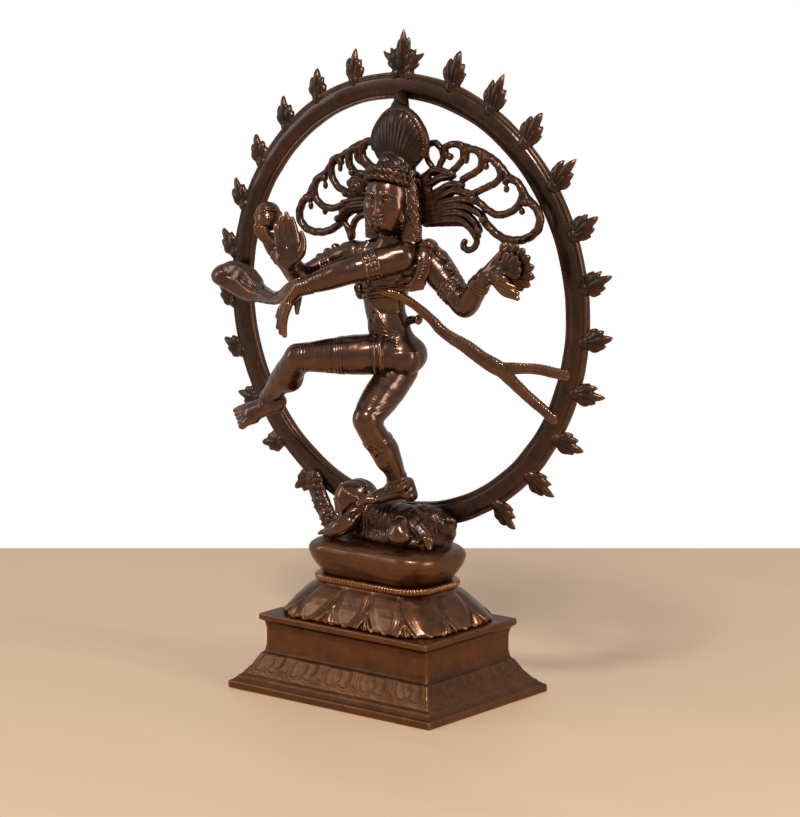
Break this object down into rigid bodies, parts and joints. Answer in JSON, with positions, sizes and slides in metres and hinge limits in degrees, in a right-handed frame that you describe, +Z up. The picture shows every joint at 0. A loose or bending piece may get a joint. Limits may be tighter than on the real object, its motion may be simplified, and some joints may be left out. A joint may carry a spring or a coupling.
{
  "type": "dancing figure statue",
  "caption": "Cast brass temple-style dancer in a ring of flames, standing on a dwarf, lotus seat and stepped hollow plinth, with dark brown patina.",
  "frame": {"origin": "middle of the plinth's underside", "axes": "+Z up to the finial, -Y the way the dancer faces, +X to the dancer's left"},
  "size_m": [0.3542, 0.133, 0.4602],
  "materials": {
    "plinth_patina": "dark brown patina over cast brass, satin, with copper-brown faces and edges worn brighter",
    "base_patina": "dark brown patina over cast brass, semi-gloss, warmer on raised petals and shoulders",
    "ring_patina": "dark brown patina over cast brass, polished ridge with darker fillets",
    "rough_patina": "near-black brown patina over as-cast brass, slightly rough, rubbed on the high spots",
    "figure_patina": "brown patina over cast brass, semi-gloss, copper-brown highlights on rubbed skin",
    "plain_fastener": "plain turned brass, no patina"
  },
  "bodies": {
    "root": {"aureole_ring": "ring_patina", "bead_collar": "base_patina", "clamp_nut": "plain_fastener", "clamp_stud": "plain_fastener", "clamp_washer": "plain_fastener", "cobra": "figure_patina", "crown": "rough_patina", "drum": "figure_patina", "dwarf_arm": "figure_patina", "dwarf_body": "figure_patina", "dwarf_head": "figure_patina", "dwarf_leg": "figure_patina", "finial_flame": "rough_patina", "flame_01": "rough_patina", "flame_02": "rough_patina", "flame_03": "rough_patina", "flame_04": "rough_patina", "flame_05": "rough_patina", "flame_06": "rough_patina", "flame_07": "rough_patina", "flame_08": "rough_patina", "flame_09": "rough_patina", "flame_10": "rough_patina", "flame_11": "rough_patina", "flame_12": "rough_patina", "flame_13": "rough_patina", "flame_14": "rough_patina", "flame_15": "rough_patina", "flame_16": "rough_patina", "flame_17": "rough_patina", "flame_18": "rough_patina", "flame_19": "rough_patina", "flame_20": "rough_patina", "flame_21": "rough_patina", "flame_22": "rough_patina", "front_left_arm": "figure_patina", "front_right_arm": "figure_patina", "hair_fan_left": "rough_patina", "hair_fan_right": "rough_patina", "hand_flame": "rough_patina", "head": "figure_patina", "lotus_pedestal": "base_patina", "lotus_seat": "base_patina", "plinth": "plinth_patina", "raised_leg": "figure_patina", "rear_left_arm": "figure_patina", "rear_right_arm": "figure_patina", "ring_foot": "rough_patina", "ring_pins": "plain_fastener", "sash": "figure_patina", "standing_leg": "figure_patina", "torso": "figure_patina"}
  },
  "joints": []
}
